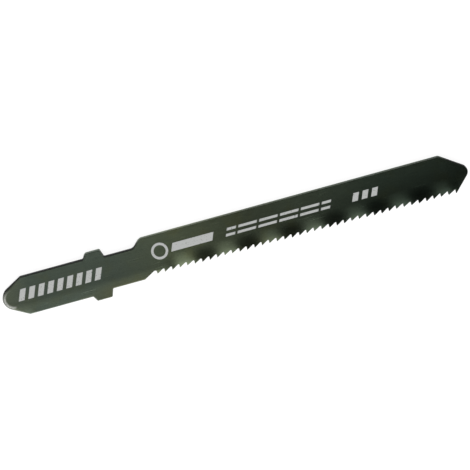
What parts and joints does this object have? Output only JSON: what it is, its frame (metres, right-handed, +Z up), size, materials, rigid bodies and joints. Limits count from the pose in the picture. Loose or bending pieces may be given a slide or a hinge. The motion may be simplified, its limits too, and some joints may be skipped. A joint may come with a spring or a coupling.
{
  "type": "jigsaw blade",
  "caption": "T-shank jigsaw blade with two lugs, a fine wave-set toothed edge and a pointed nose, for cutting metal sheet.",
  "frame": {"origin": "middle of the length and of the width, at the height of the lowest wave crest, with the blade lying flat", "axes": "+X along the blade to the nose, +Y across it to the spine with the teeth towards -Y, +Z up through the thickness"},
  "size_m": [0.076, 0.0078, 0.0015],
  "materials": {
    "oxidised_steel": "dark grey-green oxide over fine grinding marks, bare and bright on nothing but the tooth tips"
  },
  "bodies": {
    "root": {"blade": "oxidised_steel"}
  },
  "joints": []
}
